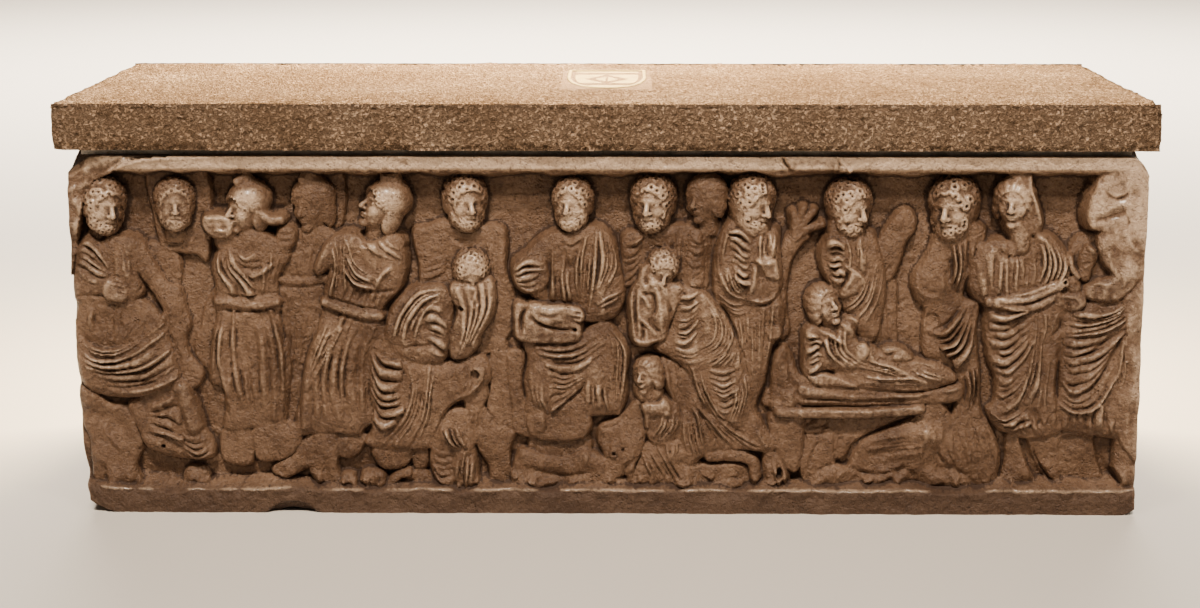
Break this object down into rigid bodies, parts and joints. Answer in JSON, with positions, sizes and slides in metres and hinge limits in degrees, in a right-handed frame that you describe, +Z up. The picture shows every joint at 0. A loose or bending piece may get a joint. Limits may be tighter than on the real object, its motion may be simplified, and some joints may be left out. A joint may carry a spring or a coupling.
{
  "type": "stone sarcophagus",
  "caption": "Hollow marble chest with a high-relief figure frieze on its front, under a thick loose rough-hewn lid slab.",
  "frame": {"origin": "middle of the underside of the chest, on the floor that it stands on", "axes": "+X along the chest, -Y towards the carved front, +Z up"},
  "size_m": [2.1498, 0.77, 0.8285],
  "materials": {
    "weathered_marble": "worn marble with brown patina, polished on the high points",
    "pointed_stone": "rough, point-dressed stone",
    "dark_iron": "dark, dull flat bar",
    "old_brass": "dulled brass with a raised rim"
  },
  "bodies": {
    "root": {"chest": "weathered_marble", "bearing_frame": "dark_iron", "lid": "pointed_stone", "lid_shield": "old_brass"}
  },
  "joints": []
}
